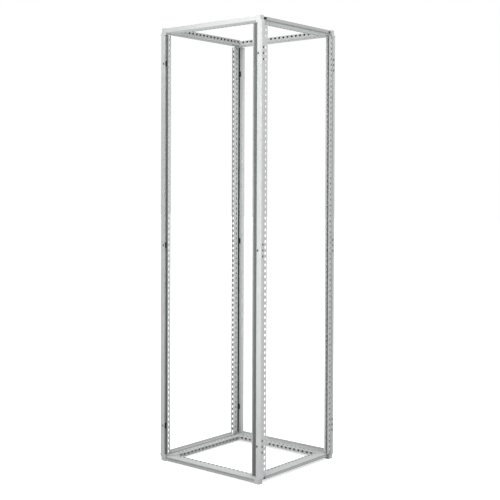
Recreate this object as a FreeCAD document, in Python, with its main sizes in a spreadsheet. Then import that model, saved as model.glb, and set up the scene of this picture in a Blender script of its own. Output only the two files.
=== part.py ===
import FreeCAD, Part
import os
import Sketcher

doc = FreeCAD.newDocument("OpenRackFrame")
sizes = doc.addObject("Spreadsheet::Sheet", "Sizes")

# Driving sizes in millimetres. "height" below means distance from the nearer end of the frame, and "inward"
# means distance from the outer plane of the frame towards its middle.
SIZES = {
    "frame_width": 600,
    "frame_depth": 545,
    "frame_height": 2000,
    "sheet": 1.5,
    "bend_outside": 2.5,
    "hole_pitch": 25,
    # upright section, measured along the frame's width (across) and depth (deep)
    "front_band": 25.5,
    "side_band": 20.5,
    "groove_deep": 9,
    "groove_floor_end": 42.6,
    "lip_end": 46.5,
    "lip_thickness_across": 1.635,
    "lip_run": 3.9,
    "corner_bend": 5,
    "channel_web_deep": 18,
    "channel_across": 24.4,
    "channel_deep": 44,
    "channel_outer_lip": 3.5,
    "channel_inner_lip": 9,
    # upright punching
    "slot_row_deep": 31.5,
    "slot_wide": 10,
    "slot_long": 12.5,
    "slot_count": 78,
    "first_slot": 37.5,
    "station_count": 3,
    "first_station": 162.5,
    "station_pitch": 837.5,
    "face_hole_across": 18.5,
    "side_hole_deep": 13,
    "fixing_hole_wide": 7,
    "fixing_hole_long": 11,
    "window_start": 23.9,
    "window_end": 32,
    "window_deep": 4,
    "window_half": 13.1,
    # corner casting
    "casting_inset": 8,
    "casting_end": 33,
    "casting_deep": 24,
    "casting_high": 30,
    "shoulder_top": 27,
    "shoulder_bottom": 17,
    "casting_thread": 10.2,
    "casting_edge": 1,
    # rails: the web is the flat that faces into the frame, low_outer and low_inner are the two
    # edges of the plain face opposite to it
    "front_rail_deep": 58,
    "side_rail_deep": 66,
    "rail_bend": 4.5,
    "rail_ledge": 3,
    "front_bottom_web": 21.5,
    "front_bottom_low_outer": 4,
    "front_bottom_low_inner": 2,
    "front_bottom_hole": 12.5,
    "front_bottom_strip_high": 12.5,
    "rear_bottom_web": 30,
    "rear_bottom_low_outer": 12,
    "rear_bottom_low_inner": 10,
    "rear_bottom_hole": 21.5,
    "rear_bottom_strip_high": 21,
    "side_bottom_web": 29,
    "side_bottom_low_outer": 14.5,
    "side_bottom_low_inner": 6.5,
    "side_bottom_hole": 19,
    "side_bottom_strip_high": 24,
    "front_top_web": 23,
    "front_top_low_outer": 2,
    "front_top_low_inner": 2,
    "front_top_hole": 12.5,
    "rear_top_web": 28,
    "rear_top_low_outer": 3,
    "rear_top_low_inner": 5.5,
    "rear_top_hole": 13.5,
    "side_top_web": 26,
    "side_top_low_outer": 3.5,
    "side_top_low_inner": 1,
    "side_top_hole": 11.5,
    "side_top_strip_high": 17,
    "mitre_gap": 0.2,
    "strip_end": 45,
    "web_slot_inset": 12,
    "web_slot_wide": 6.5,
    "web_slot_long": 12.5,
    "flange_hole_wide": 9,
    "flange_hole_long": 12,
    "front_rail_holes": 18,
    "side_rail_holes": 17,
    # raised edge angles on the rear and left bottom rails
    "angle_foot": 11,
    "angle_high": 12,
    "angle_end": 50,
    # clipped and welded nuts
    "nut_side": 10,
    "nut_thick": 5,
    "nut_thread": 5,
    "nut_edge": 0.5,
    "clip_deep": 7,
    "clip_long": 26,
    "clip_screw_hole": 6.6,
    "clip_back_thick": 2,
    "plug_gap": 0.2,
    "plug_sunk": 0.3,
}
for row, (alias, size) in enumerate(SIZES.items(), 1):
    sizes.set(f"A{row}", alias)
    sizes.set(f"B{row}", str(size))
    sizes.setAlias(f"B{row}", alias)
doc.recompute()


def sheet_formula(formula):
    """Turn a formula written with bare size names into one that reads the spreadsheet."""
    words = []
    word = ""
    for letter in formula + " ":
        if letter.isalnum() or letter in "_.":
            word += letter
        else:
            words.append(f"Sizes.{word}" if word in SIZES else word)
            words.append(letter)
            word = ""
    return "".join(words).strip()


def value(formula):
    """The number that a formula of size names stands for now."""
    result = sizes.evalExpression(sheet_formula(str(formula)))
    return float(getattr(result, "Value", result))


def bind(item, target, formula):
    item.setExpression(target, sheet_formula(str(formula)))


def new_body(name):
    body = doc.addObject("PartDesign::Body", name)
    body.Label = name
    body.AllowCompound = True
    return body


def new_sketch(body, plane, name, away="0"):
    """A sketch on one of the body's own planes, moved `away` along the plane's normal."""
    sketch = body.newObject("Sketcher::SketchObject", name)
    origin = next(item for item in body.Origin.OriginFeatures if item.Role == plane)
    sketch.AttachmentSupport = [(origin, "")]
    sketch.MapMode = "FlatFace"
    bind(sketch, "AttachmentOffset.Base.z", away)
    return sketch


def constrain(sketch, kind, *places, formula=None):
    if formula is None:
        sketch.addConstraint(Sketcher.Constraint(kind, *places))
        return
    index = sketch.addConstraint(Sketcher.Constraint(kind, *places, value(formula)))
    bind(sketch, f"Constraints[{index}]", formula)


def outline(sketch, corners):
    """A closed outline of straight lines through corners given as pairs of formulas."""
    points = [FreeCAD.Vector(value(x), value(y), 0) for x, y in corners]
    first = sketch.GeometryCount
    last = first + len(points) - 1
    for start, end in zip(points, points[1:] + points[:1]):
        sketch.addGeometry(Part.LineSegment(start, end), False)
    for line in range(first, last + 1):
        following = first if line == last else line + 1
        constrain(sketch, "Coincident", line, 2, following, 1)
    for line, (x, y) in enumerate(corners, first):
        constrain(sketch, "DistanceX", -1, 1, line, 1, formula=x)
        constrain(sketch, "DistanceY", -1, 1, line, 1, formula=y)


def circle(sketch, x, y, diameter):
    centre = FreeCAD.Vector(value(x), value(y), 0)
    ring = sketch.addGeometry(Part.Circle(centre, FreeCAD.Vector(0, 0, 1), value(diameter) / 2), False)
    constrain(sketch, "DistanceX", -1, 1, ring, 3, formula=x)
    constrain(sketch, "DistanceY", -1, 1, ring, 3, formula=y)
    constrain(sketch, "Diameter", ring, formula=diameter)


def obround(sketch, x, y, wide, long, upright=True):
    """A slot with round ends, centred on (x, y) and long either up the sketch or across it."""
    radius = value(wide) / 2
    reach = f"({long} - {wide}) / 2"
    quarter = 0.0 if upright else -0.5
    near = (f"{x}", f"{y} - {reach}") if upright else (f"{x} - {reach}", f"{y}")
    far = (f"{x}", f"{y} + {reach}") if upright else (f"{x} + {reach}", f"{y}")
    half_turn = 3.141592653589793
    ends = []
    for (end_x, end_y), turn in ((far, quarter), (near, quarter + 1)):
        ring = Part.Circle(FreeCAD.Vector(value(end_x), value(end_y), 0), FreeCAD.Vector(0, 0, 1), radius)
        arc = Part.ArcOfCircle(ring, turn * half_turn, (turn + 1) * half_turn)
        ends.append((sketch.addGeometry(arc, False), arc, end_x, end_y))
    (first, first_arc, _, _), (second, second_arc, _, _) = ends
    left = sketch.addGeometry(Part.LineSegment(first_arc.EndPoint, second_arc.StartPoint), False)
    right = sketch.addGeometry(Part.LineSegment(second_arc.EndPoint, first_arc.StartPoint), False)
    constrain(sketch, "Tangent", first, 2, left, 1)
    constrain(sketch, "Tangent", left, 2, second, 1)
    constrain(sketch, "Tangent", second, 2, right, 1)
    constrain(sketch, "Tangent", right, 2, first, 1)
    constrain(sketch, "Equal", first, second)
    constrain(sketch, "Radius", first, formula=f"{wide} / 2")
    for index, _, end_x, end_y in ends:
        constrain(sketch, "DistanceX", -1, 1, index, 3, formula=end_x)
        constrain(sketch, "DistanceY", -1, 1, index, 3, formula=end_y)


def pad(body, sketch, name, length, backwards=False):
    feature = body.newObject("PartDesign::Pad", name)
    feature.Profile = sketch
    feature.Reversed = backwards
    bind(feature, "Length", length)
    sketch.Visibility = False
    doc.recompute()
    return feature


def cut(body, sketch, name, length=None, backwards=False):
    """Cut the sketch out of the body, to a length or right through."""
    feature = body.newObject("PartDesign::Pocket", name)
    feature.Profile = sketch
    feature.Reversed = backwards
    if length is None:
        feature.Type = "ThroughAll"
    else:
        bind(feature, "Length", length)
    sketch.Visibility = False
    doc.recompute()
    return feature


def repeat(body, feature, name, axis, count, pitch, also=()):
    """Repeat a feature, and any others given, along an axis of its own sketch."""
    row = body.newObject("PartDesign::LinearPattern", name)
    row.Originals = [feature, *also]
    row.Direction = (feature.Profile[0], [axis])
    bind(row, "Length", f"({count} - 1) * {pitch}")
    bind(row, "Occurrences", count)
    body.Tip = row
    doc.recompute()
    return row


def round_long_edges(body, base, name, axis, places, radius):
    """Round the edges that run along `axis` (0, 1 or 2) through the given pairs of formulas."""
    across = [index for index in range(3) if index != axis]
    wanted = [(value(x), value(y)) for x, y in places]
    names = []
    for number, edge in enumerate(base.Shape.Edges, 1):
        ends = [vertex.Point for vertex in edge.Vertexes]
        if len(ends) < 2 or (ends[0] - ends[1]).Length - abs(ends[0][axis] - ends[1][axis]) > 1e-4:
            continue
        spot = [ends[0][index] for index in across]
        if any(abs(spot[0] - x) < 1e-3 and abs(spot[1] - y) < 1e-3 for x, y in wanted):
            names.append(f"Edge{number}")
    feature = body.newObject("PartDesign::Fillet", name)
    feature.Base = (base, names)
    bind(feature, "Radius", radius)
    body.Tip = feature
    doc.recompute()
    return feature


HALF_TURNS = {
    "none": FreeCAD.Rotation(),
    "about_width": FreeCAD.Rotation(FreeCAD.Vector(1, 0, 0), 180),
    "about_depth": FreeCAD.Rotation(FreeCAD.Vector(0, 1, 0), 180),
    "about_height": FreeCAD.Rotation(FreeCAD.Vector(0, 0, 1), 180),
}


def place(body, x, y, z, rotation):
    """Put a body's own origin at a place in the frame, given as formulas."""
    body.Placement = FreeCAD.Placement(FreeCAD.Vector(value(x), value(y), value(z)), rotation)
    bind(body, "Placement.Base.x", x)
    bind(body, "Placement.Base.y", y)
    bind(body, "Placement.Base.z", z)


def place_by_symmetry(body, x, y, z, turn):
    """Put a body made for the left front bottom of the frame there, or at one of its three half turns."""
    side = "-1" if turn in ("about_depth", "about_height") else "1"
    face = "-1" if turn in ("about_width", "about_height") else "1"
    end = "-1" if turn in ("about_width", "about_depth") else "1"
    middle = "frame_height / 2"
    place(
        body,
        f"{side} * ({x})",
        f"{face} * ({y})",
        f"{middle} + {end} * ({z} - {middle})",
        HALF_TURNS[turn],
    )


LEFT = "-1 * frame_width / 2"
FRONT = "-1 * frame_depth / 2"
CORNERS = {
    "front_left": "none",
    "front_right": "about_depth",
    "rear_left": "about_width",
    "rear_right": "about_height",
}


def upright(corner, turn):
    """One roll-formed upright: an outer skin with a seal groove, closed by a lipped channel."""
    body = new_body(f"upright_{corner}")
    section = new_sketch(body, "XY_Plane", f"section_{corner}")
    groove_back = "groove_deep + sheet"
    lip_back = "lip_end + lip_thickness_across"
    lip_back_foot = f"{lip_back} - lip_run * ({groove_back}) / groove_deep"
    channel_back = "channel_web_deep + sheet"
    inner_leg = "channel_across - sheet"
    mouth_top = "channel_deep - sheet"
    outer_lip_end = "sheet + channel_outer_lip"
    inner_lip_end = "channel_across - channel_inner_lip"
    outline(section, [
        ("0", "0"),
        ("front_band", "0"),
        ("front_band", "groove_deep"),
        ("groove_floor_end", "groove_deep"),
        ("lip_end", "0"),
        (lip_back, "0"),
        (lip_back_foot, groove_back),
        ("front_band - sheet", groove_back),
        ("front_band - sheet", "sheet"),
        ("sheet", "sheet"),
        ("sheet", "channel_web_deep"),
        ("channel_across", "channel_web_deep"),
        ("channel_across", "channel_deep"),
        (inner_lip_end, "channel_deep"),
        (inner_lip_end, mouth_top),
        (inner_leg, mouth_top),
        (inner_leg, channel_back),
        ("2 * sheet", channel_back),
        ("2 * sheet", mouth_top),
        (outer_lip_end, mouth_top),
        (outer_lip_end, "channel_deep"),
        ("sheet", "channel_deep"),
        ("sheet", "side_band"),
        ("0", "side_band"),
    ])
    length = "frame_height - 2 * casting_high"
    bar = pad(body, section, f"bar_{corner}", length)
    outer_bends = [
        ("front_band", "0"),
        ("front_band - sheet", groove_back),
        (lip_back_foot, groove_back),
        ("channel_across", "channel_web_deep"),
        ("channel_across", "channel_deep"),
        ("sheet", "channel_deep"),
    ]
    inner_bends = [
        ("front_band - sheet", "sheet"),
        ("front_band", "groove_deep"),
        ("groove_floor_end", "groove_deep"),
        (inner_leg, channel_back),
        (inner_leg, mouth_top),
        ("2 * sheet", channel_back),
        ("2 * sheet", mouth_top),
    ]
    bent = round_long_edges(body, bar, f"outer_bends_{corner}", 2, outer_bends, "bend_outside")
    bent = round_long_edges(body, bent, f"inner_bends_{corner}", 2, inner_bends, "bend_outside - sheet")
    bent = round_long_edges(body, bent, f"corner_outside_{corner}", 2, [("0", "0")], "corner_bend")
    round_long_edges(body, bent, f"corner_inside_{corner}", 2, [("sheet", "sheet")], "corner_bend - sheet")

    station = "first_station - casting_high"
    face_holes = new_sketch(body, "XZ_Plane", f"face_hole_{corner}")
    obround(face_holes, "face_hole_across", station, "fixing_hole_wide", "fixing_hole_long")
    face_cut = cut(body, face_holes, f"face_hole_cut_{corner}", "2 * sheet")
    repeat(body, face_cut, f"face_holes_{corner}", "V_Axis", "station_count", "station_pitch")

    windows = new_sketch(body, "XZ_Plane", f"window_{corner}", away="-1 * window_deep")
    outline(windows, [
        ("window_start", f"{station} - window_half"),
        ("window_end", f"{station} - window_half"),
        ("window_end", f"{station} + window_half"),
        ("window_start", f"{station} + window_half"),
    ])
    window_cut = cut(body, windows, f"window_cut_{corner}", "groove_deep + 2 * sheet - window_deep")
    repeat(body, window_cut, f"windows_{corner}", "V_Axis", "station_count", "station_pitch")

    side_holes = new_sketch(body, "YZ_Plane", f"side_hole_{corner}")
    for step in (-1, 0, 1):
        height = f"{station} + {step} * hole_pitch"
        obround(side_holes, "side_hole_deep", height, "fixing_hole_wide", "fixing_hole_long")
    side_cut = cut(body, side_holes, f"side_hole_cut_{corner}", "2 * sheet", backwards=True)
    repeat(body, side_cut, f"side_holes_{corner}", "V_Axis", "station_count", "station_pitch")

    slots = new_sketch(body, "YZ_Plane", f"slot_{corner}")
    obround(slots, "slot_row_deep", "first_slot - casting_high", "slot_wide", "slot_long")
    slot_cut = cut(body, slots, f"slot_cut_{corner}", backwards=True)
    repeat(body, slot_cut, f"slots_{corner}", "V_Axis", "slot_count", "hole_pitch")
    place_by_symmetry(body, LEFT, FRONT, "casting_high", turn)
    return body


def rail_section(level, inset, deep):
    """Outline of a closed rail: outer strip, ledge, perforated web, perforated inner flange and plain bottom."""
    riser = f"{inset} + rail_ledge"
    web = f"{level}_web"
    strip_high = f"{level}_strip_high"
    low_outer = f"{level}_low_outer"
    low_inner = f"{level}_low_inner"
    outside = [
        (inset, low_outer),
        (inset, strip_high),
        (riser, strip_high),
        (riser, web),
        (deep, web),
        (deep, low_inner),
    ]
    inside = [
        (f"{inset} + sheet", f"{low_outer} + sheet"),
        (f"{inset} + sheet", f"{strip_high} - sheet"),
        (f"{riser} + sheet", f"{strip_high} - sheet"),
        (f"{riser} + sheet", f"{web} - sheet"),
        (f"{deep} - sheet", f"{web} - sheet"),
        (f"{deep} - sheet", f"{low_inner} + sheet"),
    ]
    return outside, inside


def plain_rail_section(level, deep):
    """Outline of a closed rail whose outer strip runs straight up to its web."""
    web = f"{level}_web"
    low_outer = f"{level}_low_outer"
    low_inner = f"{level}_low_inner"
    outside = [("0", low_outer), ("0", web), (deep, web), (deep, low_inner)]
    inside = [
        ("sheet", f"{low_outer} + sheet"),
        ("sheet", f"{web} - sheet"),
        (f"{deep} - sheet", f"{web} - sheet"),
        (f"{deep} - sheet", f"{low_inner} + sheet"),
    ]
    return outside, inside


def rail(name, outlines, level, web_edge, deep, length, mitre_start, holes):
    """One rail along the sketch's x axis, with the heights that belong to `level`."""
    body = new_body(name)
    web = f"{level}_web"
    section = new_sketch(body, "YZ_Plane", f"section_{name}")
    for corners in outlines:
        outline(section, corners)
    bar = pad(body, section, f"bar_{name}", length)
    bends = [(deep, web), (deep, f"{level}_low_inner")]
    bent = round_long_edges(body, bar, f"inner_bend_{name}", 0, bends, "bend_outside")
    round_long_edges(body, bent, f"outer_bend_{name}", 0, [(web_edge, web)], "rail_bend")

    mitre_long = f"{deep} - ({mitre_start})"
    mitres = new_sketch(body, "XY_Plane", f"mitre_{name}")
    outline(mitres, [
        ("0", mitre_start),
        (mitre_long, deep),
        (mitre_long, f"{deep} + 1"),
        ("0", f"{deep} + 1"),
    ])
    outline(mitres, [
        (length, mitre_start),
        (length, f"{deep} + 1"),
        (f"{length} - ({mitre_long})", f"{deep} + 1"),
        (f"{length} - ({mitre_long})", deep),
    ])
    cut(body, mitres, f"mitre_cut_{name}", backwards=True)

    first_hole = f"({length}) / 2 - ({holes} - 1) * hole_pitch / 2"
    web_slots = new_sketch(body, "XY_Plane", f"web_slot_{name}")
    obround(web_slots, first_hole, f"{deep} - web_slot_inset", "web_slot_wide", "web_slot_long", upright=False)
    slot_cut = cut(body, web_slots, f"web_slot_cut_{name}", backwards=True)
    repeat(body, slot_cut, f"web_slots_{name}", "H_Axis", holes, "hole_pitch")

    flange_holes = new_sketch(body, "XZ_Plane", f"flange_hole_{name}", away=f"-1 * ({deep} - 2 * sheet)")
    obround(flange_holes, first_hole, f"{level}_hole", "flange_hole_wide", "flange_hole_long", upright=False)
    hole_cut = cut(body, flange_holes, f"flange_hole_cut_{name}", "3 * sheet")
    repeat(body, hole_cut, f"flange_holes_{name}", "H_Axis", holes, "hole_pitch")
    return body


FRONT_RAIL_LENGTH = "frame_width - 2 * casting_end"
SIDE_RAIL_LENGTH = "frame_depth - 2 * casting_deep"
FRONT_MITRE = "front_rail_deep - (side_rail_deep - casting_end) - mitre_gap"
SIDE_MITRE = "side_rail_deep - (front_rail_deep - casting_deep) - mitre_gap"
STRIP_BUTT = "strip_end - casting_deep"


def width_rail(name, level):
    """A front or rear rail; the bottom ones have a ledge above their outer strip."""
    if "bottom" in level:
        outlines = rail_section(level, "0", "front_rail_deep")
        web_edge = "rail_ledge"
    else:
        outlines = plain_rail_section(level, "front_rail_deep")
        web_edge = "0"
    return rail(name, outlines, level, web_edge, "front_rail_deep",
                FRONT_RAIL_LENGTH, FRONT_MITRE, "front_rail_holes")


def depth_rail(name, level):
    """A side rail, whose outer strip stops short of the uprights at both ends."""
    outlines = rail_section(level, "casting_inset", "side_rail_deep")
    body = rail(name, outlines, level, "casting_inset + rail_ledge", "side_rail_deep",
                SIDE_RAIL_LENGTH, SIDE_MITRE, "side_rail_holes")
    notches = new_sketch(body, "XZ_Plane", f"notch_{name}")
    high = f"{level}_strip_high"
    outline(notches, [("0", "0"), (STRIP_BUTT, "0"), (STRIP_BUTT, high), ("0", high)])
    outline(notches, [
        (f"{SIDE_RAIL_LENGTH} - ({STRIP_BUTT})", "0"),
        (SIDE_RAIL_LENGTH, "0"),
        (SIDE_RAIL_LENGTH, high),
        (f"{SIDE_RAIL_LENGTH} - ({STRIP_BUTT})", high),
    ])
    cut(body, notches, f"notch_cut_{name}", "casting_inset + rail_ledge + 2 * sheet")
    return body


def edge_angle(name, web, outer, length):
    """A bent angle that stands on a rail's web, close to its outer edge, and stiffens it."""
    body = new_body(name)
    section = new_sketch(body, "YZ_Plane", f"section_{name}")
    outline(section, [
        (outer, web),
        (outer, f"{web} + angle_high"),
        (f"{outer} + sheet", f"{web} + angle_high"),
        (f"{outer} + sheet", f"{web} + sheet"),
        (f"{outer} + angle_foot", f"{web} + sheet"),
        (f"{outer} + angle_foot", web),
    ])
    bar = pad(body, section, f"bar_{name}", length)
    bent = round_long_edges(body, bar, f"outer_bend_{name}", 0, [(outer, web)], "bend_outside")
    heel = [(f"{outer} + sheet", f"{web} + sheet")]
    round_long_edges(body, bent, f"inner_bend_{name}", 0, heel, "bend_outside - sheet")
    return body


def casting(name):
    """One corner casting, drawn for the left front bottom corner."""
    body = new_body(name)
    side = new_sketch(body, "XZ_Plane", f"side_{name}")
    outline(side, [
        ("casting_inset", "0"),
        ("casting_end", "0"),
        ("casting_end", "casting_high"),
        ("0", "casting_high"),
        ("0", "shoulder_top"),
        ("casting_inset", "shoulder_bottom"),
    ])
    block = pad(body, side, f"block_{name}", "casting_deep", backwards=True)
    round_long_edges(body, block, f"edges_{name}", 1, [("casting_inset", "0"), ("casting_end", "0")], "casting_edge")
    bore = new_sketch(body, "XY_Plane", f"thread_{name}")
    circle(bore, "(casting_inset + casting_end) / 2", "casting_deep / 2", "casting_thread")
    cut(body, bore, f"thread_cut_{name}", backwards=True)
    return body


def nut_row(name, plane, across, deep, backwards):
    """Three square nuts, one at each fixing station, flat against the inside of the upright's skin."""
    body = new_body(name)
    face = new_sketch(body, plane, f"face_{name}", away=deep)
    outline(face, [
        (f"{across} - nut_side / 2", "first_station - nut_side / 2"),
        (f"{across} + nut_side / 2", "first_station - nut_side / 2"),
        (f"{across} + nut_side / 2", "first_station + nut_side / 2"),
        (f"{across} - nut_side / 2", "first_station + nut_side / 2"),
    ])
    circle(face, across, "first_station", "nut_thread")
    first = pad(body, face, f"nut_{name}", "nut_thick", backwards=backwards)
    repeat(body, first, f"nuts_{name}", "V_Axis", "station_count", "station_pitch")
    return body


def clip_row(name):
    """Three black clips, each holding a square nut behind the face and closing the window in the groove's corner."""
    body = new_body(name)
    near = "face_hole_across - nut_side / 2"
    far = "face_hole_across + nut_side / 2"
    low = "first_station - clip_long / 2"
    high = "first_station + clip_long / 2"
    clip_back = "sheet + clip_deep"
    nut_back = "sheet + nut_thick"
    side = new_sketch(body, "YZ_Plane", f"side_{name}", away=near)
    outline(side, [
        ("sheet", low),
        (clip_back, low),
        (clip_back, high),
        ("sheet", high),
        ("sheet", "first_station + nut_side / 2"),
        (nut_back, "first_station + nut_side / 2"),
        (nut_back, "first_station - nut_side / 2"),
        ("sheet", "first_station - nut_side / 2"),
    ])
    clip = pad(body, side, f"clip_{name}", "nut_side")

    floor_back = "groove_deep + sheet"
    plate_back = f"{floor_back} + clip_back_thick"
    plug_face = "groove_deep + plug_sunk"
    riser_face = "front_band - plug_sunk"
    plug = new_sketch(body, "XY_Plane", f"plug_{name}", away=low)
    outline(plug, [
        (near, clip_back),
        (far, clip_back),
        (far, "window_deep + plug_gap"),
        (riser_face, "window_deep + plug_gap"),
        (riser_face, plug_face),
        ("window_end - plug_gap", plug_face),
        ("window_end - plug_gap", floor_back),
        ("window_end + 1", floor_back),
        ("window_end + 1", plate_back),
        (near, plate_back),
    ])
    plug_pad = pad(body, plug, f"plug_pad_{name}", "clip_long")
    repeat(body, clip, f"clips_{name}", "V_Axis", "station_count", "station_pitch", also=[plug_pad])
    holes = new_sketch(body, "XZ_Plane", f"screw_hole_{name}")
    for step in range(int(value("station_count"))):
        circle(holes, "face_hole_across", f"first_station + {step} * station_pitch", "clip_screw_hole")
    cut(body, holes, f"screw_holes_{name}", f"{plate_back} + 1")
    return body


made = []
for corner, turn in CORNERS.items():
    made.append(upright(corner, turn))
    face_nuts = nut_row(f"face_nuts_{corner}", "XZ_Plane", "face_hole_across", "-1 * sheet", True)
    side_nuts = nut_row(f"side_nuts_{corner}", "YZ_Plane", "side_hole_deep", "sheet", False)
    clips = clip_row(f"nut_clips_{corner}")
    for body in (face_nuts, side_nuts, clips):
        place_by_symmetry(body, LEFT, FRONT, "0", turn)
        made.append(body)

# A casting is symmetric about its own middle depth, so each half turn serves a front and a rear corner.
REAR_CASTING = "frame_depth / 2 - casting_deep"
for turn, at_front, at_rear in (
    ("none", "front_left_bottom", "rear_left_bottom"),
    ("about_depth", "front_right_top", "rear_right_top"),
    ("about_width", "rear_left_top", "front_left_top"),
    ("about_height", "rear_right_bottom", "front_right_bottom"),
):
    for corner, deep in ((at_front, FRONT), (at_rear, REAR_CASTING)):
        body = casting(f"casting_{corner}")
        place_by_symmetry(body, LEFT, deep, "0", turn)
        made.append(body)

for name, level, turn in (
    ("bottom_rail_front", "front_bottom", "none"),
    ("bottom_rail_rear", "rear_bottom", "about_height"),
    ("top_rail_front", "front_top", "about_depth"),
    ("top_rail_rear", "rear_top", "about_width"),
):
    body = width_rail(name, level)
    place_by_symmetry(body, f"{LEFT} + casting_end", FRONT, "0", turn)
    made.append(body)

QUARTER = FreeCAD.Rotation(FreeCAD.Vector(0, 0, 1), 90)
THREE_QUARTERS = FreeCAD.Rotation(FreeCAD.Vector(0, 0, 1), -90)
UPSIDE_DOWN = HALF_TURNS["about_width"]
RIGHT = "frame_width / 2"
NEAR_END = f"{FRONT} + casting_deep"
FAR_END = "frame_depth / 2 - casting_deep"
for name, level, across, deep, height, rotation in (
    ("bottom_rail_left", "side_bottom", LEFT, FAR_END, "0", THREE_QUARTERS),
    ("bottom_rail_right", "side_bottom", RIGHT, NEAR_END, "0", QUARTER),
    ("top_rail_left", "side_top", LEFT, NEAR_END, "frame_height", QUARTER * UPSIDE_DOWN),
    ("top_rail_right", "side_top", RIGHT, FAR_END, "frame_height", THREE_QUARTERS * UPSIDE_DOWN),
):
    body = depth_rail(name, level)
    place(body, across, deep, height, rotation)
    made.append(body)

body = edge_angle("edge_angle_rear", "rear_bottom_web", "rail_ledge + rail_bend", "frame_width - 2 * angle_end")
place_by_symmetry(body, f"{LEFT} + angle_end", FRONT, "0", "about_height")
made.append(body)
LEFT_ANGLE_OUTER = "casting_inset + rail_ledge + rail_bend"
body = edge_angle("edge_angle_left", "side_bottom_web", LEFT_ANGLE_OUTER, "frame_depth - 2 * angle_end")
place(body, LEFT, "frame_depth / 2 - angle_end", "0", THREE_QUARTERS)
made.append(body)
doc.recompute()

os.makedirs("parts", exist_ok=True)
for item in doc.Objects:
    if "Invalid" in item.State or "Error" in item.State:
        raise RuntimeError(f"{item.Name} did not compute: {item.State}")
for body in made:
    if body.Shape.isNull() or not body.Shape.isValid():
        raise RuntimeError(f"{body.Label} has no valid shape")
for body in made:
    body.Shape.exportStep(f"parts/{body.Label}.step")
    print(body.Label, len(body.Shape.Solids), round(body.Shape.Volume / 1000, 1), body.Shape.BoundBox)
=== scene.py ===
import math
from collections import namedtuple
from functools import partial

import bmesh
import bpy
from mathutils import Matrix, Vector


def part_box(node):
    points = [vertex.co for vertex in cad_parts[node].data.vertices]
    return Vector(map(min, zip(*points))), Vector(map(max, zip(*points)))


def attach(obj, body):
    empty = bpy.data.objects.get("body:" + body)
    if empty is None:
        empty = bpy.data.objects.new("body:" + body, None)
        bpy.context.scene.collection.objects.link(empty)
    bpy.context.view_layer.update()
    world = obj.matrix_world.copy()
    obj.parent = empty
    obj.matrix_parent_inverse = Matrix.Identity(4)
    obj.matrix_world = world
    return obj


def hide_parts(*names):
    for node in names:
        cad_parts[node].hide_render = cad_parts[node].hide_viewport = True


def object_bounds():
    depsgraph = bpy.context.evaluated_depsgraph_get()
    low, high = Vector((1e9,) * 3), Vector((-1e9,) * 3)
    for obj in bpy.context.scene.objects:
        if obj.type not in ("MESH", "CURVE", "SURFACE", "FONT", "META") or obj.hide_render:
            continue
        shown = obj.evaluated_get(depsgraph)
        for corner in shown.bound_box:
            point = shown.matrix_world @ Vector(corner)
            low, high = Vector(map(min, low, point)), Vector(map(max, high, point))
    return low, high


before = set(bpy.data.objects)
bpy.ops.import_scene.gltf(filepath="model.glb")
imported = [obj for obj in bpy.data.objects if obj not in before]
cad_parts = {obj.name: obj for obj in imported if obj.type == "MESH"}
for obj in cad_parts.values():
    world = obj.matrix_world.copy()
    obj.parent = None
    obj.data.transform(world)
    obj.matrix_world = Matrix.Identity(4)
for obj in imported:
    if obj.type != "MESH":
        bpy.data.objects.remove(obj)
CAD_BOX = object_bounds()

LOW, HIGH = (Vector(corner) for corner in CAD_BOX)
HALF_WIDTH = (HIGH.x - LOW.x) / 2
HALF_DEPTH = (HIGH.y - LOW.y) / 2
HEIGHT = HIGH.z - LOW.z
MM = 0.001
CORNERS = ("front_left", "front_right", "rear_left", "rear_right")

# ------------------------------------------------------------- where shade is painted into the colour
# Distances are inward from the frame's outer planes: "across" from the sides, "deep" from the front or rear,
# and "level" from the floor or the top, whichever is nearer.
SHEET = 1.5 * MM
CASTING_HIGH = 30 * MM
HOLE_EDGE = 0.15 * MM  # a hole's wall is shaded from here inward, so the face around it isn't
# painted shade in an upright's seal groove, a little less on its leaning wall, and in the closed hollow
# between its skin and its channel
GROOVE_START = 25.7 * MM
GROOVE_END = 47.3 * MM
GROOVE_LEAN = 0.433
GROOVE_DEEP = 9.6 * MM
GROOVE_FADE = (1.0 * MM, 8.5 * MM)
LEANING_WALL = (37 * MM, 44 * MM)
LEANING_WALL_SHARE = 0.88
UPRIGHT_BEND = 5.5 * MM
HOLLOW_ACROSS = 24.2 * MM
HOLLOW_DEEP = 18.2 * MM
HOLLOW_START = SHEET - 0.025 * MM  # at the skin's inner face, past the outside of its rounded corner
SIDE_HOLES_END = 22 * MM
FACE_HOLES_END = 23.5 * MM
# rails: the outer edge and inner flange of each section, its skin and bends, and how far its mitre reaches
SIDE_EDGE = 11 * MM
SIDE_END = 66 * MM
WIDTH_EDGE = 3 * MM
WIDTH_END = 58 * MM
RAIL_MITRE_END = 65 * MM
RAIL_SKIN = SHEET - 0.1 * MM
RAIL_BEND = 4.6 * MM
# rails' outer faces and flanges, which get painted shade: a face's tolerance, where that shade starts below
# the web, how far before the edge the ledge's shade starts and is full, and the share of that shade on the
# strip under the ledge
FACE_TOLERANCE = 0.4 * MM
BELOW_WEB = 2.5 * MM
LEDGE_FADE = (2 * MM, 0.5 * MM)
STRIP_SHARE = 0.55
# bands of painted shade on webs: beside the raised edge angles, and all across the left top web, which faces
# down
BESIDE_ANGLE = (20 * MM, 44 * MM)
WHOLE_WEB = (4 * MM, 72 * MM)
BAND_FADE = 4 * MM
WEB_TOLERANCE = 1.0 * MM
# how far each rail's web lies from the end of the frame that it closes
WEBS = {
    "bottom": {"front": 21.5 * MM, "rear": 30 * MM, "side": 29 * MM},
    "top": {"front": 23 * MM, "rear": 28 * MM, "side": 26 * MM},
}

# A rail's section: whether it is measured across or deep, its outer edge, its inner flange, the level of its
# sloping wall at the higher edge, and the level of its web.
Rail = namedtuple("Rail", "is_side edge flange low web")


def side_rail(end, low):
    return Rail(True, SIDE_EDGE, SIDE_END, low, WEBS[end]["side"])


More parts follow.
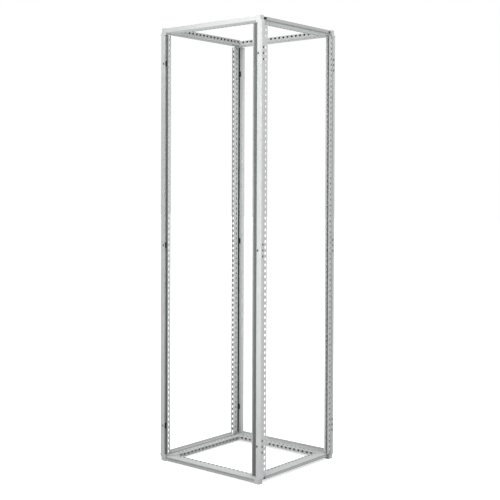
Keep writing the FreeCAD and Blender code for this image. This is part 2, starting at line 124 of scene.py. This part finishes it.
RAILS = {
    ("bottom", "front"): Rail(False, WIDTH_EDGE, WIDTH_END, 4 * MM, WEBS["bottom"]["front"]),
    ("bottom", "rear"): Rail(False, WIDTH_EDGE, WIDTH_END, 12 * MM, WEBS["bottom"]["rear"]),
    ("bottom", "left"): side_rail("bottom", 14.5 * MM),
    ("bottom", "right"): side_rail("bottom", 14.5 * MM),
    ("top", "front"): Rail(False, 0.0, WIDTH_END, 2 * MM, WEBS["top"]["front"]),
    ("top", "rear"): Rail(False, 0.0, WIDTH_END, 5.5 * MM, WEBS["top"]["rear"]),
    ("top", "left"): side_rail("top", 3.5 * MM),
    ("top", "right"): side_rail("top", 3.5 * MM),
}
# rails with no ledge, whose outer faces get no painted shade
PLAIN_FACED = (("top", "front"), ("top", "rear"))
# the band of painted shade on a rail's web, and how strong it is
SHADE_BANDS = {
    ("bottom", "left"): (BESIDE_ANGLE, 1.0),
    ("bottom", "rear"): (BESIDE_ANGLE, 0.4),
    ("top", "left"): (WHOLE_WEB, 0.55),
}


# -------------------------------------------------------------------------- node helpers
def new_material(name):
    material = bpy.data.materials.new(name)
    material.use_nodes = True
    material.node_tree.nodes.clear()
    return material


class Wires:
    """Short ways to add nodes to one material and join them."""

    def __init__(self, material):
        self.tree = material.node_tree
        self.output = self.tree.nodes.new("ShaderNodeOutputMaterial")
        self.shader = self.tree.nodes.new("ShaderNodeBsdfPrincipled")
        self.join(self.shader.outputs["BSDF"], self.output.inputs["Surface"])
        self.place = self.tree.nodes.new("ShaderNodeTexCoord").outputs["Object"]

    def join(self, source, target):
        """Link a socket to a target, or set the target to a number or a colour."""
        if isinstance(source, (int, float, tuple)):
            target.default_value = source
        else:
            self.tree.links.new(source, target)

    def feed(self, name, source):
        self.join(source, self.shader.inputs[name])

    def noise(self, scale, detail=2.0, roughness=0.5):
        node = self.tree.nodes.new("ShaderNodeTexNoise")
        node.inputs["Scale"].default_value = scale
        node.inputs["Detail"].default_value = detail
        node.inputs["Roughness"].default_value = roughness
        self.join(self.place, node.inputs["Vector"])
        return node.outputs["Fac"]

    def math(self, operation, first, second=0.0, third=0.0):
        node = self.tree.nodes.new("ShaderNodeMath")
        node.operation = operation
        for socket, source in zip(node.inputs, (first, second, third)):
            self.join(source, socket)
        return node.outputs["Value"]

    def above(self, distance, limit):
        return self.math("GREATER_THAN", distance, limit)

    def below(self, distance, limit):
        return self.math("LESS_THAN", distance, limit)

    def between(self, distance, low, high):
        return self.both(self.above(distance, low), self.below(distance, high))

    def both(self, first, *others):
        """The product of several amounts."""
        for other in others:
            first = self.math("MULTIPLY", first, other)
        return first

    def most(self, first, *others):
        """The largest of several amounts."""
        for other in others:
            first = self.math("MAXIMUM", first, other)
        return first

    def remap(self, source, low, high, to_low, to_high, smooth=False):
        node = self.tree.nodes.new("ShaderNodeMapRange")
        if smooth:
            node.interpolation_type = "SMOOTHSTEP"
        values = (source, low, high, to_low, to_high)
        for name, item in zip(("Value", "From Min", "From Max", "To Min", "To Max"), values):
            self.join(item, node.inputs[name])
        return node.outputs["Result"]

    def mix(self, amount, first, second):
        node = self.tree.nodes.new("ShaderNodeMix")
        node.data_type = "RGBA"
        self.join(amount, node.inputs["Factor"])
        colours = [socket for socket in node.inputs if socket.type == "RGBA"]
        self.join(first, colours[0])
        self.join(second, colours[1])
        return next(socket for socket in node.outputs if socket.type == "RGBA")

    def bump(self, height, strength, distance, over=None):
        """A bump of its own, or one over another bump."""
        node = self.tree.nodes.new("ShaderNodeBump")
        node.inputs["Strength"].default_value = strength
        node.inputs["Distance"].default_value = distance
        self.join(height, node.inputs["Height"])
        if over is not None:
            self.join(over, node.inputs["Normal"])
        return node.outputs["Normal"]


# ------------------------------------------------------------------------ places with painted shade
def folded_place(wires):
    """Distances inward from the frame's outer planes: across, deep and level, as above."""
    split = wires.tree.nodes.new("ShaderNodeSeparateXYZ")
    wires.join(wires.place, split.inputs["Vector"])
    x, y, z = split.outputs
    across = wires.math("SUBTRACT", HALF_WIDTH, wires.math("ABSOLUTE", x))
    deep = wires.math("SUBTRACT", HALF_DEPTH, wires.math("ABSOLUTE", y))
    from_middle = wires.math("ABSOLUTE", wires.math("SUBTRACT", z, HEIGHT / 2))
    return across, deep, wires.math("SUBTRACT", HEIGHT / 2, from_middle)


def groove_shade_amount(wires):
    """Painted shade in an upright's seal groove, by how deep a place lies in it: 0 outside it, most on its
    floor.
    """
    across, deep, level = folded_place(wires)
    to_leaning_wall = wires.math("MULTIPLY_ADD", deep, GROOVE_LEAN, across)
    inside = wires.both(
        wires.above(across, GROOVE_START),
        wires.below(to_leaning_wall, GROOVE_END),
        wires.below(deep, GROOVE_DEEP),
        wires.above(level, CASTING_HIGH),
    )
    depth = wires.remap(deep, *GROOVE_FADE, 0.0, 1.0, smooth=True)
    leaning_wall = wires.remap(across, *LEANING_WALL, 1.0, LEANING_WALL_SHARE)
    return wires.both(inside, wires.both(depth, leaning_wall))


def hollow_shade_amount(wires):
    """Painted shade: 1 on the faces that look into an upright's closed hollow, and on the walls of the holes
    into it.
    """
    across, deep, _ = folded_place(wires)
    hollow = wires.both(
        wires.between(across, HOLLOW_START, HOLLOW_ACROSS),
        wires.between(deep, HOLLOW_START, HOLLOW_DEEP),
    )
    side_holes = wires.both(
        wires.between(across, HOLE_EDGE, SHEET),
        wires.between(deep, UPRIGHT_BEND, SIDE_HOLES_END),
    )
    face_holes = wires.both(
        wires.between(deep, HOLE_EDGE, SHEET),
        wires.between(across, UPRIGHT_BEND, FACE_HOLES_END),
    )
    return wires.most(hollow, side_holes, face_holes)


def rail_place(wires, rail):
    """Distance from the outer plane that a rail runs along, distance from its nearer end, and level."""
    across, deep, level = folded_place(wires)
    return (across, deep, level) if rail.is_side else (deep, across, level)


def rail_hollow_shade_amount(wires, rail):
    """Painted shade: 1 on the inside walls of a closed rail and in its slots and holes, between its mitred
    ends, which get none.
    """
    distance, from_end, level = rail_place(wires, rail)
    hollow = wires.both(
        wires.between(distance, rail.edge + RAIL_SKIN, rail.flange - RAIL_SKIN),
        wires.between(level, rail.low + RAIL_SKIN, rail.web - RAIL_SKIN),
    )
    web_slots = wires.both(
        wires.between(distance, rail.edge + RAIL_BEND, rail.flange - RAIL_BEND),
        wires.between(level, rail.web - SHEET, rail.web - HOLE_EDGE),
    )
    flange_holes = wires.both(
        wires.between(level, rail.low + RAIL_BEND, rail.web - RAIL_BEND),
        wires.between(distance, rail.flange - SHEET, rail.flange - HOLE_EDGE),
    )
    dark = wires.most(hollow, web_slots, flange_holes)
    return wires.both(dark, wires.above(from_end, RAIL_MITRE_END))


def rail_face_shade_amount(wires, rail):
    """Painted shade on a rail's outer faces below its web: the ledge most, the strip under it less."""
    distance, _, level = rail_place(wires, rail)
    face = wires.below(distance, rail.edge + FACE_TOLERANCE)
    start, end = (rail.edge - before for before in LEDGE_FADE)
    ledge = wires.remap(distance, start, end, STRIP_SHARE, 1.0)
    return wires.both(face, wires.below(level, rail.web - BELOW_WEB), ledge)


def rail_flange_shade_amount(wires, rail):
    """Painted shade: 1 on a rail's inner flange, which faces the shaded inside of the frame."""
    distance, _, level = rail_place(wires, rail)
    flange = wires.above(distance, rail.flange - FACE_TOLERANCE)
    return wires.both(flange, wires.below(level, rail.web - BELOW_WEB))


def web_band_shade_amount(wires, rail, band, strength):
    """A soft band of painted shade along a rail's web, between two distances from the frame's outer plane.
    """
    distance, _, level = rail_place(wires, rail)
    start, end = band
    rising = wires.remap(distance, start, start + BAND_FADE, 0.0, strength, smooth=True)
    falling = wires.remap(distance, end - BAND_FADE, end, 1.0, 0.0, smooth=True)
    return wires.both(rising, falling, wires.above(level, rail.web - WEB_TOLERANCE))


# ---------------------------------------------------------------------------- materials
PAINT = (0.440, 0.455, 0.450, 1.0)
PAINT_COOL = (0.455, 0.466, 0.468, 1.0)
PAINT_DULL = (0.405, 0.417, 0.415, 1.0)
PAINT_SPECK = (0.30, 0.306, 0.303, 1.0)
# painted shade: darker paint colours standing in for shade on flanges, outer faces, web bands, grooves and
# hollows
FLANGE_SHADE = (0.290, 0.299, 0.297, 1.0)
FACE_SHADE = (0.275, 0.284, 0.282, 1.0)
BAND_SHADE = (0.215, 0.222, 0.221, 1.0)
GROOVE_SHADE = (0.100, 0.107, 0.105, 1.0)
HOLLOW_SHADE = (0.055, 0.057, 0.056, 1.0)
# noise scales of the powder coat, from broad unevenness down to its specks, in features per metre
BROAD = 2.6
PATCHES = 34.0
GLOSS = 90.0
PEEL = 330.0
GRAIN = 1500.0
SPECKS = 2100.0
CASTING_COARSE = 1.6

ZINC_YELLOW = (0.20, 0.135, 0.075, 1.0)
ZINC_BROWN = (0.115, 0.085, 0.065, 1.0)
ZINC_DIRT = (0.07, 0.05, 0.035, 1.0)
NYLON_BLACK = (0.014, 0.014, 0.015, 1.0)
NYLON_WORN = (0.030, 0.030, 0.031, 1.0)
FLOOR_WHITE = (0.71, 0.71, 0.71, 1.0)
FLOOR_BRIGHT = (0.74, 0.74, 0.74, 1.0)
FLOOR_GLOW = 0.05
FLOOR_GLOW_SEEN = 0.6


def powder_coat(name, shades=(), coarse=1.0):
    """Light grey powder coat: a fine grain over a shallow orange peel, a little uneven in tone and gloss.

    `shades` lists functions that give an amount of painted shade, each with the colour that takes over
    there.
    """
    material = new_material(name)
    wires = Wires(material)
    broad = wires.remap(wires.noise(BROAD, 3.0), 0.35, 0.65, 0.0, 1.0)
    patches = wires.remap(wires.noise(PATCHES, 4.0), 0.42, 0.70, 0.0, 0.55)
    specks = wires.remap(wires.noise(SPECKS, 1.0), 0.66, 0.74, 0.0, 0.35)
    colour = wires.mix(broad, PAINT, PAINT_COOL)
    colour = wires.mix(patches, colour, PAINT_DULL)
    colour = wires.mix(specks, colour, PAINT_SPECK)
    for amount, shade in shades:
        colour = wires.mix(amount(wires), colour, shade)
    wires.feed("Base Color", colour)
    wires.feed("Roughness", wires.remap(wires.noise(GLOSS, 3.0), 0.3, 0.7, 0.40, 0.54))
    peel = wires.bump(wires.noise(PEEL / coarse), 0.35, 0.12 * MM)
    wires.feed("Normal", wires.bump(wires.noise(GRAIN / coarse), 0.30, 0.05 * MM, over=peel))
    wires.feed("Specular IOR Level", 0.45)
    return material


def rail_coat(end, side):
    """Powder coat of one rail, with shade painted where little light reaches it."""
    rail = RAILS[end, side]
    shades = [(partial(rail_hollow_shade_amount, rail=rail), HOLLOW_SHADE)]
    if (end, side) not in PLAIN_FACED:
        shades.append((partial(rail_face_shade_amount, rail=rail), FACE_SHADE))
    if (end, side) in SHADE_BANDS:
        band, strength = SHADE_BANDS[end, side]
        shades.append((partial(web_band_shade_amount, rail=rail, band=band, strength=strength), BAND_SHADE))
    if rail.is_side:
        shades.append((partial(rail_flange_shade_amount, rail=rail), FLANGE_SHADE))
    return powder_coat(f"{side}_{end}_coat", shades)


def passivated_zinc():
    """Yellow-brown passivated steel of the nuts, cloudy and dirty in tone."""
    material = new_material("nut_zinc")
    wires = Wires(material)
    cloud = wires.remap(wires.noise(420.0, 3.0), 0.38, 0.62, 0.0, 1.0)
    dirt = wires.remap(wires.noise(1400.0), 0.58, 0.72, 0.0, 0.7)
    colour = wires.mix(cloud, ZINC_YELLOW, ZINC_BROWN)
    wires.feed("Base Color", wires.mix(dirt, colour, ZINC_DIRT))
    wires.feed("Roughness", wires.remap(cloud, 0.0, 1.0, 0.34, 0.52))
    wires.feed("Normal", wires.bump(wires.noise(2600.0), 0.25, 0.03 * MM))
    wires.feed("Metallic", 0.75)
    return material


def black_nylon():
    """Black moulded nylon of the clips, with a fine moulded grain."""
    material = new_material("clip_nylon")
    wires = Wires(material)
    tone = wires.remap(wires.noise(260.0, 3.0), 0.35, 0.65, 0.0, 1.0)
    wires.feed("Base Color", wires.mix(tone, NYLON_BLACK, NYLON_WORN))
    wires.feed("Roughness", wires.remap(tone, 0.0, 1.0, 0.42, 0.60))
    wires.feed("Normal", wires.bump(wires.noise(1800.0), 0.30, 0.04 * MM))
    return material


def studio_floor():
    """A matt floor that the camera sees as plain white, and that gives back less light than it shows."""
    material = new_material("studio_floor")
    wires = Wires(material)
    tone = wires.remap(wires.noise(1.4), 0.3, 0.7, 0.0, 1.0)
    wires.feed("Base Color", wires.mix(tone, FLOOR_WHITE, FLOOR_BRIGHT))
    wires.feed("Roughness", 0.9)
    wires.feed("Specular IOR Level", 0.1)
    wires.feed("Emission Color", (1.0, 1.0, 1.0, 1.0))
    seen = wires.tree.nodes.new("ShaderNodeLightPath").outputs["Is Camera Ray"]
    wires.feed("Emission Strength", wires.math("MULTIPLY_ADD", seen, FLOOR_GLOW_SEEN, FLOOR_GLOW))
    return material


# the uprights' coat carries painted shade in their seal grooves, closed hollows and hole walls
STEEL = powder_coat("upright_coat", [(groove_shade_amount, GROOVE_SHADE), (hollow_shade_amount, HOLLOW_SHADE)])
ANGLE = powder_coat("angle_coat")
CAST = powder_coat("casting_coat", coarse=CASTING_COARSE)
NUT = passivated_zinc()
NYLON = black_nylon()
# the coat of each CAD node, by the start of its name
COATS = {
    "upright": STEEL,
    "edge_angle": ANGLE,
    "casting": CAST,
    "nut_clips": NYLON,
    "face_nuts": NUT,
    "side_nuts": NUT,
}
for end, side in RAILS:
    COATS[f"{end}_rail_{side}"] = rail_coat(end, side)


def wear(piece, material):
    """Give a CAD object or a mesh piece one material in every slot."""
    slots = piece.data.materials
    if not slots:
        slots.append(material)
    for index in range(len(slots)):
        slots[index] = material


for name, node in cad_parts.items():
    wear(node, next(coat for start, coat in COATS.items() if name.startswith(start)))


def new_piece(name, mesh, material):
    """Turn a bmesh into an object of the visual model."""
    bmesh.ops.recalc_face_normals(mesh, faces=mesh.faces)
    data = bpy.data.meshes.new(name)
    mesh.to_mesh(data)
    mesh.free()
    piece = bpy.data.objects.new(name, data)
    bpy.context.scene.collection.objects.link(piece)
    wear(piece, material)
    return piece


def join_rings(mesh, ring, following):
    """Faces between two closed rings of the same number of points."""
    for step in range(len(ring)):
        after = (step + 1) % len(ring)
        mesh.faces.new((ring[step], ring[after], following[after], following[step]))


# --------------------------------------------------------------------------------- nuts
NUT_SIDE = 10 * MM
NUT_THICK = 5 * MM
NUT_CHAMFER = 0.35 * MM
NUT_SQUARENESS = 14  # a higher power gives sharper corners
THREAD_MINOR = 2.5 * MM
THREAD_DEEP = 0.45 * MM
THREAD_PITCH = 1.0 * MM
COUNTERSINK = 3.1 * MM
AROUND = 48
RINGS_PER_PITCH = 6


def turned(radius, step, height):
    """A point at a radius and a height, some steps of the way round."""
    angle = 2 * math.pi * step / AROUND
    return Vector((radius * math.cos(angle), radius * math.sin(angle), height))


def round_ring(radius, height):
    return [turned(radius, step, height) for step in range(AROUND)]


def square_ring(half, height):
    """Points evenly spaced in angle around a square with slightly rounded corners."""
    points = []
    for step in range(AROUND):
        angle = 2 * math.pi * step / AROUND
        total = abs(math.cos(angle)) ** NUT_SQUARENESS + abs(math.sin(angle)) ** NUT_SQUARENESS
        points.append(turned(half * total ** (-1 / NUT_SQUARENESS), step, height))
    return points


def thread_ring(height):
    """One ring of the threaded wall: the radius rises and falls as the helix passes."""
    points = []
    for step in range(AROUND):
        phase = (height / THREAD_PITCH - step / AROUND) % 1.0
        points.append(turned(THREAD_MINOR + THREAD_DEEP * (1 - abs(2 * phase - 1)), step, height))
    return points


def nut_rings():
    """Rings of one nut, from its outer top edge down its outside and up through its bore."""
    half = NUT_SIDE / 2
    top = NUT_THICK / 2
    inner_top = top - (COUNTERSINK - THREAD_MINOR)
    count = int(2 * inner_top / THREAD_PITCH * RINGS_PER_PITCH)
    rings = [
        square_ring(half - NUT_CHAMFER, top),
        square_ring(half, top - NUT_CHAMFER),
        square_ring(half, -top + NUT_CHAMFER),
        square_ring(half - NUT_CHAMFER, -top),
        round_ring(COUNTERSINK, -top),
    ]
    for step in range(count + 1):
        rings.append(thread_ring(-inner_top + 2 * inner_top * step / count))
    rings.append(round_ring(COUNTERSINK, top))
    return rings


def add_nut(mesh, place):
    """Add one square nut to a bmesh: closed rings of points joined all the way round."""
    rings = [[mesh.verts.new(place @ point) for point in ring] for ring in nut_rings()]
    for ring, following in zip(rings, rings[1:] + rings[:1]):
        join_rings(mesh, ring, following)


def nut_set(node, axis):
    """Detailed nuts in place of the plain ones of one CAD node."""
    low, high = (Vector(corner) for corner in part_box(node))
    middle = (low + high) / 2
    turn = Vector((0, 0, 1)).rotation_difference(axis).to_matrix().to_4x4()
    mesh = bmesh.new()
    for height in (low.z + NUT_SIDE / 2, middle.z, high.z - NUT_SIDE / 2):
        add_nut(mesh, Matrix.Translation((middle.x, middle.y, height)) @ turn)
    piece = new_piece(f"threaded_{node}", mesh, NUT)
    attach(piece, "root")
    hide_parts(node)


for corner in CORNERS:
    nut_set(f"face_nuts_{corner}", Vector((0, 1, 0)))
    nut_set(f"side_nuts_{corner}", Vector((1, 0, 0)))


# --------------------------------------------------------------------------- weld seams
BEAD_STATIONS = 90
BEAD_RIPPLE = 0.10
BEAD_PITCH = 3.2 * MM
BEAD_INSET = 1.5 * MM
BEAD_FOOT_SHARE = 0.55
BEAD_LEAST_FOOT = 2 * MM
# the bead's outline, as shares of its foot on the nearer web and of the step up to the other web
BEAD_OUTLINE = ((0.0, -0.04), (1.0, 0.0), (0.82, 0.42), (0.46, 0.78), (0.0, 0.99))


def bead_rings(corner, end):
    """Rings of points along the mitre of two rails, from its inner corner out to the casting."""
    facing, side = corner.split("_")
    side_x = -1 if side == "left" else 1
    side_y = -1 if facing == "front" else 1
    casting_low, casting_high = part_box(f"casting_{corner}_{end}")
    run = WIDTH_END - (casting_high[1] - casting_low[1])
    width_web = WEBS[end][facing]
    side_web = WEBS[end]["side"]
    nearer = min(width_web, side_web)
    rise = abs(width_web - side_web)
    foot = max(BEAD_LEAST_FOOT, BEAD_FOOT_SHARE * rise)
    lean = 1 if width_web < side_web else -1
    rings = []
    for station in range(BEAD_STATIONS + 1):
        along = BEAD_INSET + (run - BEAD_INSET) * station / BEAD_STATIONS
        swell = 1 - BEAD_RIPPLE * abs(math.sin(math.pi * along * math.sqrt(2) / BEAD_PITCH))
        ring = []
        for foot_share, rise_share in BEAD_OUTLINE:
            out = lean * foot * foot_share * swell / math.sqrt(2)
            level = nearer + rise * rise_share
            x = side_x * (HALF_WIDTH - (SIDE_END - along + out))
            y = side_y * (HALF_DEPTH - (WIDTH_END - along - out))
            ring.append((x, y, level if end == "bottom" else HEIGHT - level))
        rings.append(ring)
    return rings


def weld_seam(corner, end):
    """The rippled bead along the mitre of two rails, which fills the step between their webs."""
    mesh = bmesh.new()
    rings = [[mesh.verts.new(point) for point in ring] for ring in bead_rings(corner, end)]
    for ring, following in zip(rings, rings[1:]):
        join_rings(mesh, ring, following)
    mesh.faces.new(rings[0])
    mesh.faces.new(rings[-1])
    piece = new_piece(f"weld_{corner}_{end}", mesh, CAST)
    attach(piece, "root")


for corner in CORNERS:
    weld_seam(corner, "bottom")
    weld_seam(corner, "top")


# ------------------------------------------------------------------------------- studio
FLOOR_SIZE = 30.0
# the world's light grows from the first strength to the second between two heights on the sky, 0 being level
SKY_HEIGHTS = (0.2, 1.0)
SKY_STRENGTHS = (0.42, 1.70)


def add_floor():
    size = FLOOR_SIZE
    mesh = bpy.data.meshes.new("floor")
    corners = [(-size, -size, LOW.z), (size, -size, LOW.z), (size, size, LOW.z), (-size, size, LOW.z)]
    mesh.from_pydata(corners, [], [(0, 1, 2, 3)])
    floor = bpy.data.objects.new("floor", mesh)
    bpy.context.scene.collection.objects.link(floor)
    wear(floor, studio_floor())


def add_softbox(name, place, aim, width, height, power):
    """A rectangular area light that the camera doesn't see."""
    light = bpy.data.lights.new(name, "AREA")
    light.shape = "RECTANGLE"
    light.size = width
    light.size_y = height
    light.energy = power
    lamp = bpy.data.objects.new(name, light)
    lamp.location = place
    lamp.visible_camera = False
    lamp.rotation_euler = (Vector(aim) - Vector(place)).to_track_quat("-Z", "Y").to_euler()
    bpy.context.scene.collection.objects.link(lamp)


def add_world():
    """A white studio: the camera sees plain white, and more light comes from above than from the sides."""
    world = bpy.data.worlds.new("studio")
    world.use_nodes = True
    nodes = world.node_tree.nodes
    links = world.node_tree.links
    background = nodes["Background"]
    background.inputs["Color"].default_value = (1.0, 1.0, 1.0, 1.0)
    split = nodes.new("ShaderNodeSeparateXYZ")
    links.new(nodes.new("ShaderNodeTexCoord").outputs["Generated"], split.inputs["Vector"])
    climb = nodes.new("ShaderNodeMapRange")
    for name, number in zip(("From Min", "From Max", "To Min", "To Max"), SKY_HEIGHTS + SKY_STRENGTHS):
        climb.inputs[name].default_value = number
    links.new(split.outputs["Z"], climb.inputs["Value"])
    seen = nodes.new("ShaderNodeMix")
    links.new(nodes.new("ShaderNodeLightPath").outputs["Is Camera Ray"], seen.inputs[0])
    links.new(climb.outputs["Result"], seen.inputs[2])
    seen.inputs[3].default_value = 1.0
    links.new(seen.outputs[0], background.inputs["Strength"])
    bpy.context.scene.world = world


add_floor()
add_world()
add_softbox("key", (0.40, -0.75, 1.35), (0.28, -0.27, 1.35), width=0.3, height=2.1, power=6.1)
add_softbox("side", (1.9, 0.3, 2.7), (0.3, 0.1, 1.9), width=0.9, height=0.9, power=13)
add_softbox("front_top", (-0.05, -0.80, 2.15), (-0.05, -0.27, 1.99), width=0.6, height=0.2, power=1.8)
add_softbox("inner_fill", (0.05, -0.10, 1.00), (-0.28, 0.26, 1.0), width=0.2, height=1.8, power=1.0)

# ------------------------------------------------------------------------------- camera
CAMERA_PLACE = Vector((2.894, -3.467, 1.264))
HEADING = math.radians(39.845)
PITCH = math.radians(0.912)
ROLL = math.radians(0.190)
LENS = 69.94
SENSOR = 36
SHIFT = (0.0038, -0.0923)


def add_camera():
    """A camera far back from the right front corner, above the frame's middle and looking almost level."""
    ahead = Vector((-math.sin(HEADING), math.cos(HEADING), 0))
    forward = ahead * math.cos(PITCH) - Vector((0, 0, math.sin(PITCH)))
    level_right = Vector((math.cos(HEADING), math.sin(HEADING), 0))
    level_up = level_right.cross(forward)
    right = level_right * math.cos(ROLL) + level_up * math.sin(ROLL)
    up = level_up * math.cos(ROLL) - level_right * math.sin(ROLL)
    turn = Matrix((right, up, -forward)).transposed().to_4x4()
    data = bpy.data.cameras.new("camera")
    data.sensor_width = SENSOR
    data.lens = LENS
    data.shift_x, data.shift_y = SHIFT
    camera = bpy.data.objects.new("camera", data)
    camera.matrix_world = Matrix.Translation(CAMERA_PLACE) @ turn
    bpy.context.scene.collection.objects.link(camera)
    bpy.context.scene.camera = camera


add_camera()
bpy.context.scene.view_settings.view_transform = "Standard"
